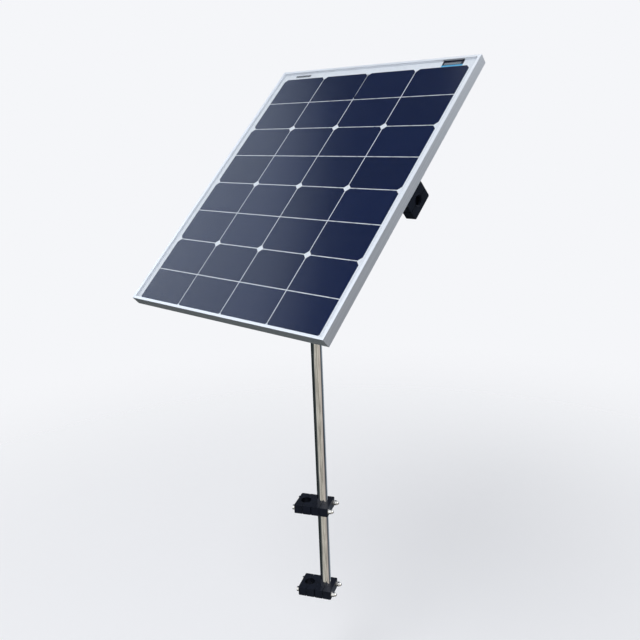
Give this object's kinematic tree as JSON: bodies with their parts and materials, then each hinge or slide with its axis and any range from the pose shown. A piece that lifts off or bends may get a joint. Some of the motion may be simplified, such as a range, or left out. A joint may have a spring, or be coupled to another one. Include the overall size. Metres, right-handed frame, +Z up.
{
  "type": "rail-mount solar panel",
  "caption": "Framed solar panel on a T-shaped stainless mast, tilting on its cross tube, with two double clamps that hold the mast beside a boat's rail stanchion.",
  "frame": {"origin": "middle of the lower clamp's stanchion bore, on the stanchion's axis", "axes": "+Z up the stanchion and the mast, +X along the cross tube to the right as seen from the glass side, -Y towards the glass side"},
  "size_m": [0.545, 0.513, 1.2234],
  "materials": {
    "anodised_aluminium": "satin silver anodised",
    "solar_glass": "clear tempered, smooth front",
    "encapsulant": "clear laminated film",
    "silicon_cell": "dark navy anti-reflective",
    "tinned_copper": "tinned",
    "backsheet_film": "white laminated film",
    "sealant": "grey silicone",
    "label_navy": "printed film",
    "label_blue": "printed film",
    "label_grey": "printed film",
    "label_silver": "printed film",
    "box_black": "moulded, fine texture",
    "black_rubber": "matt",
    "terminal_brass": "stamped",
    "clamp_polyamide": "machined black polyamide",
    "polished_stainless": "mirror polished",
    "stainless_fastener": "bright"
  },
  "bodies": {
    "rail_clamps": {"lower_rail_jaw": "clamp_polyamide", "lower_rail_block": "clamp_polyamide", "lower_mast_block": "clamp_polyamide", "lower_mast_jaw": "clamp_polyamide", "upper_rail_jaw": "clamp_polyamide", "upper_rail_block": "clamp_polyamide", "upper_mast_block": "clamp_polyamide", "upper_mast_jaw": "clamp_polyamide", "rail_clamp_bolts": "stainless_fastener", "rail_clamp_washers": "stainless_fastener", "rail_clamp_nuts": "stainless_fastener"},
    "mast_foot": {"mast_foot_plug": "clamp_polyamide"},
    "mast": {"mast_tube": "polished_stainless", "tee_fitting": "polished_stainless", "tee_grub_screws": "stainless_fastener", "cross_tube": "polished_stainless", "cross_tube_cap_left": "clamp_polyamide", "cross_tube_cap_right": "clamp_polyamide"},
    "panel": {"frame_rail_left": "anodised_aluminium", "frame_rail_right": "anodised_aluminium", "frame_rail_top": "anodised_aluminium", "frame_rail_bottom": "anodised_aluminium", "corner_keys": "anodised_aluminium", "front_glass": "solar_glass", "front_encapsulant": "encapsulant", "cell_string_1": "silicon_cell", "cell_string_2": "silicon_cell", "cell_string_3": "silicon_cell", "cell_string_4": "silicon_cell", "cell_tabs": "tinned_copper", "bus_ribbons": "tinned_copper", "rear_encapsulant": "encapsulant", "backsheet": "backsheet_film", "perimeter_seal": "sealant", "front_label": "label_navy", "front_label_band": "label_blue", "front_strip": "label_grey", "rear_label": "label_silver", "junction_box_pad": "sealant", "junction_box_base": "box_black", "junction_box_gasket": "black_rubber", "junction_box_lid": "box_black", "junction_box_screws": "stainless_fastener", "terminal_block": "box_black", "terminal_clips": "terminal_brass", "bypass_diodes": "box_black", "cable_gland_bodies": "box_black", "cable_gland_nuts": "box_black", "cable_gland_seals": "black_rubber", "left_clamp_frame_shell": "clamp_polyamide", "left_clamp_outer_shell": "clamp_polyamide", "right_clamp_frame_shell": "clamp_polyamide", "right_clamp_outer_shell": "clamp_polyamide", "end_clamp_screws": "stainless_fastener", "end_clamp_washers": "stainless_fastener", "end_clamp_nuts": "stainless_fastener"}
  },
  "joints": [
    {"name": "mast_height", "type": "slide", "parent": "rail_clamps", "child": "mast_foot", "axis": [0, 0, 1], "range_m": [-0.25, 0]},
    {"name": "mast_turn", "type": "hinge", "parent": "mast_foot", "child": "mast", "pos_m": [0.03746, 0.01668, 0], "axis": [0, 0, 1], "continuous": true},
    {"name": "panel_tilt", "type": "hinge", "parent": "mast", "child": "panel", "pos_m": [0.03746, 0.01668, 0.9496], "axis": [1, 0, 0], "range_deg": [-133, 47]}
  ]
}
